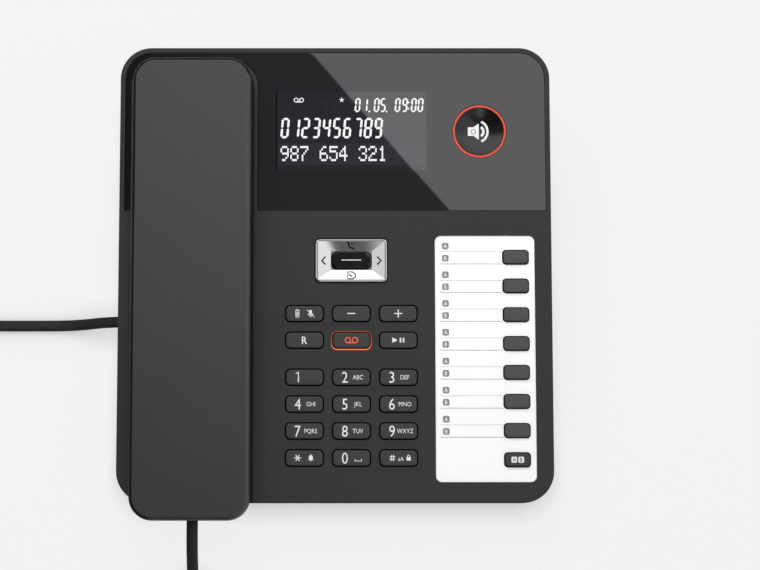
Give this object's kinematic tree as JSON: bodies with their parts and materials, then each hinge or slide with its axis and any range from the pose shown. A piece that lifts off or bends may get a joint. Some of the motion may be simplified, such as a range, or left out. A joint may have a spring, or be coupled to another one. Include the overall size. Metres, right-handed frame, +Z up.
{
  "type": "answering machine",
  "caption": "Corded desk telephone with built-in answering machine: sloping body, handset in a channel, display, lit round button, rocker, keypad and label strip.",
  "frame": {"origin": "on the desk under the middle of the object's outline, without its cord", "axes": "+X to the user's right along the body's width, +Y away from the user towards the rear, +Z up"},
  "size_m": [0.2941, 0.2888, 0.068],
  "materials": {
    "matte_body": "fine matte texture",
    "handset_back": "fine matte texture",
    "key_cap": "satin",
    "gloss_panel": "polished",
    "button_gloss": "polished",
    "light_red": "lit outline",
    "chrome_key": "mirror",
    "card": "paper",
    "clear_sheet": "clear",
    "display": "display glass",
    "rubber": "matte",
    "cord": "satin",
    "steel": "plain",
    "board": "varnished",
    "inner_part": "moulded"
  },
  "bodies": {
    "base": {"housing_upper": "matte_body", "housing_lower": "matte_body", "rubber_feet": "rubber", "housing_screws": "steel", "display_panel": "gloss_panel", "display_module": "display", "speaker_ring": "light_red", "message_halo": "light_red", "label_card": "card", "label_sheet": "clear_sheet", "key_mat": "rubber", "main_board": "board", "board_screws": "steel", "loudspeaker": "inner_part", "hook_switch": "inner_part", "line_jack": "inner_part", "power_jack": "inner_part", "handset_jack": "inner_part", "cord_plug_base": "cord", "cord_curls": "cord", "cord_lead_base": "cord"},
    "handset": {"handset_cover": "handset_back", "handset_shell": "matte_body", "handset_inner": "steel", "handset_screws": "steel", "handset_socket": "inner_part", "cord_plug_handset": "cord", "cord_lead_handset": "cord"},
    "hook": {"hook_plunger": "matte_body"},
    "gimbal": {"rocker_gimbal": "inner_part"},
    "rocker": {"rocker_plate": "chrome_key"},
    "centre": {"centre_key": "button_gloss"},
    "speaker_button": {"speaker_button": "button_gloss"},
    "mute_key": {"mute_key": "key_cap"},
    "minus_key": {"minus_key": "key_cap"},
    "plus_key": {"plus_key": "key_cap"},
    "recall_key": {"recall_key": "key_cap"},
    "message_key": {"message_key": "key_cap"},
    "play_key": {"play_key": "key_cap"},
    "key_1": {"key_1": "key_cap"},
    "key_2": {"key_2": "key_cap"},
    "key_3": {"key_3": "key_cap"},
    "key_4": {"key_4": "key_cap"},
    "key_5": {"key_5": "key_cap"},
    "key_6": {"key_6": "key_cap"},
    "key_7": {"key_7": "key_cap"},
    "key_8": {"key_8": "key_cap"},
    "key_9": {"key_9": "key_cap"},
    "star_key": {"star_key": "key_cap"},
    "key_0": {"key_0": "key_cap"},
    "hash_key": {"hash_key": "key_cap"},
    "memory_key_1": {"memory_key_1": "key_cap"},
    "memory_key_2": {"memory_key_2": "key_cap"},
    "memory_key_3": {"memory_key_3": "key_cap"},
    "memory_key_4": {"memory_key_4": "key_cap"},
    "memory_key_5": {"memory_key_5": "key_cap"},
    "memory_key_6": {"memory_key_6": "key_cap"},
    "memory_key_7": {"memory_key_7": "key_cap"},
    "shift_key": {"shift_key": "key_cap"}
  },
  "joints": [
    {"name": "handset_lift", "type": "slide", "parent": "base", "child": "handset", "axis": [0, -0.1392, 0.9903], "range_m": [0, 0.06]},
    {"name": "hook_rise", "type": "slide", "parent": "base", "child": "hook", "axis": [0, -0.1392, 0.9903], "range_m": [0, 0.003]},
    {"name": "rocker_up_down", "type": "hinge", "parent": "base", "child": "gimbal", "pos_m": [0.0078, 0.01069, 0.03355], "axis": [1, 0, 0], "range_deg": [-2, 2], "stiffness_Nm_per_rad": 0.3},
    {"name": "rocker_left_right", "type": "hinge", "parent": "gimbal", "child": "rocker", "pos_m": [0.0078, 0.01069, 0.03355], "axis": [0, 0.9903, 0.1392], "range_deg": [-2, 2], "stiffness_Nm_per_rad": 0.3},
    {"name": "centre_press", "type": "slide", "parent": "rocker", "child": "centre", "axis": [0, 0.1392, -0.9903], "range_m": [0, 0.001], "stiffness_N_per_m": 300, "springref_m": -0.001},
    {"name": "speaker_press", "type": "slide", "parent": "base", "child": "speaker_button", "axis": [0, 0.1392, -0.9903], "range_m": [0, 0.0012], "stiffness_N_per_m": 300, "springref_m": -0.001},
    {"name": "mute_key_press", "type": "slide", "parent": "base", "child": "mute_key", "axis": [0, 0.1392, -0.9903], "range_m": [0, 0.0012], "stiffness_N_per_m": 300, "springref_m": -0.001},
    {"name": "minus_key_press", "type": "slide", "parent": "base", "child": "minus_key", "axis": [0, 0.1392, -0.9903], "range_m": [0, 0.0012], "stiffness_N_per_m": 300, "springref_m": -0.001},
    {"name": "plus_key_press", "type": "slide", "parent": "base", "child": "plus_key", "axis": [0, 0.1392, -0.9903], "range_m": [0, 0.0012], "stiffness_N_per_m": 300, "springref_m": -0.001},
    {"name": "recall_key_press", "type": "slide", "parent": "base", "child": "recall_key", "axis": [0, 0.1392, -0.9903], "range_m": [0, 0.0012], "stiffness_N_per_m": 300, "springref_m": -0.001},
    {"name": "message_key_press", "type": "slide", "parent": "base", "child": "message_key", "axis": [0, 0.1392, -0.9903], "range_m": [0, 0.0012], "stiffness_N_per_m": 300, "springref_m": -0.001},
    {"name": "play_key_press", "type": "slide", "parent": "base", "child": "play_key", "axis": [0, 0.1392, -0.9903], "range_m": [0, 0.0012], "stiffness_N_per_m": 300, "springref_m": -0.001},
    {"name": "key_1_press", "type": "slide", "parent": "base", "child": "key_1", "axis": [0, 0.1392, -0.9903], "range_m": [0, 0.0012], "stiffness_N_per_m": 300, "springref_m": -0.001},
    {"name": "key_2_press", "type": "slide", "parent": "base", "child": "key_2", "axis": [0, 0.1392, -0.9903], "range_m": [0, 0.0012], "stiffness_N_per_m": 300, "springref_m": -0.001},
    {"name": "key_3_press", "type": "slide", "parent": "base", "child": "key_3", "axis": [0, 0.1392, -0.9903], "range_m": [0, 0.0012], "stiffness_N_per_m": 300, "springref_m": -0.001},
    {"name": "key_4_press", "type": "slide", "parent": "base", "child": "key_4", "axis": [0, 0.1392, -0.9903], "range_m": [0, 0.0012], "stiffness_N_per_m": 300, "springref_m": -0.001},
    {"name": "key_5_press", "type": "slide", "parent": "base", "child": "key_5", "axis": [0, 0.1392, -0.9903], "range_m": [0, 0.0012], "stiffness_N_per_m": 300, "springref_m": -0.001},
    {"name": "key_6_press", "type": "slide", "parent": "base", "child": "key_6", "axis": [0, 0.1392, -0.9903], "range_m": [0, 0.0012], "stiffness_N_per_m": 300, "springref_m": -0.001},
    {"name": "key_7_press", "type": "slide", "parent": "base", "child": "key_7", "axis": [0, 0.1392, -0.9903], "range_m": [0, 0.0012], "stiffness_N_per_m": 300, "springref_m": -0.001},
    {"name": "key_8_press", "type": "slide", "parent": "base", "child": "key_8", "axis": [0, 0.1392, -0.9903], "range_m": [0, 0.0012], "stiffness_N_per_m": 300, "springref_m": -0.001},
    {"name": "key_9_press", "type": "slide", "parent": "base", "child": "key_9", "axis": [0, 0.1392, -0.9903], "range_m": [0, 0.0012], "stiffness_N_per_m": 300, "springref_m": -0.001},
    {"name": "star_key_press", "type": "slide", "parent": "base", "child": "star_key", "axis": [0, 0.1392, -0.9903], "range_m": [0, 0.0012], "stiffness_N_per_m": 300, "springref_m": -0.001},
    {"name": "key_0_press", "type": "slide", "parent": "base", "child": "key_0", "axis": [0, 0.1392, -0.9903], "range_m": [0, 0.0012], "stiffness_N_per_m": 300, "springref_m": -0.001},
    {"name": "hash_key_press", "type": "slide", "parent": "base", "child": "hash_key", "axis": [0, 0.1392, -0.9903], "range_m": [0, 0.0012], "stiffness_N_per_m": 300, "springref_m": -0.001},
    {"name": "memory_key_1_press", "type": "slide", "parent": "base", "child": "memory_key_1", "axis": [0, 0.1392, -0.9903], "range_m": [0, 0.0012], "stiffness_N_per_m": 300, "springref_m": -0.001},
    {"name": "memory_key_2_press", "type": "slide", "parent": "base", "child": "memory_key_2", "axis": [0, 0.1392, -0.9903], "range_m": [0, 0.0012], "stiffness_N_per_m": 300, "springref_m": -0.001},
    {"name": "memory_key_3_press", "type": "slide", "parent": "base", "child": "memory_key_3", "axis": [0, 0.1392, -0.9903], "range_m": [0, 0.0012], "stiffness_N_per_m": 300, "springref_m": -0.001},
    {"name": "memory_key_4_press", "type": "slide", "parent": "base", "child": "memory_key_4", "axis": [0, 0.1392, -0.9903], "range_m": [0, 0.0012], "stiffness_N_per_m": 300, "springref_m": -0.001},
    {"name": "memory_key_5_press", "type": "slide", "parent": "base", "child": "memory_key_5", "axis": [0, 0.1392, -0.9903], "range_m": [0, 0.0012], "stiffness_N_per_m": 300, "springref_m": -0.001},
    {"name": "memory_key_6_press", "type": "slide", "parent": "base", "child": "memory_key_6", "axis": [0, 0.1392, -0.9903], "range_m": [0, 0.0012], "stiffness_N_per_m": 300, "springref_m": -0.001},
    {"name": "memory_key_7_press", "type": "slide", "parent": "base", "child": "memory_key_7", "axis": [0, 0.1392, -0.9903], "range_m": [0, 0.0012], "stiffness_N_per_m": 300, "springref_m": -0.001},
    {"name": "shift_key_press", "type": "slide", "parent": "base", "child": "shift_key", "axis": [0, 0.1392, -0.9903], "range_m": [0, 0.0012], "stiffness_N_per_m": 300, "springref_m": -0.001}
  ],
  "couplings": [
    {"joint": "hook_rise", "follows": "handset_lift", "ratio": 0.05}
  ]
}
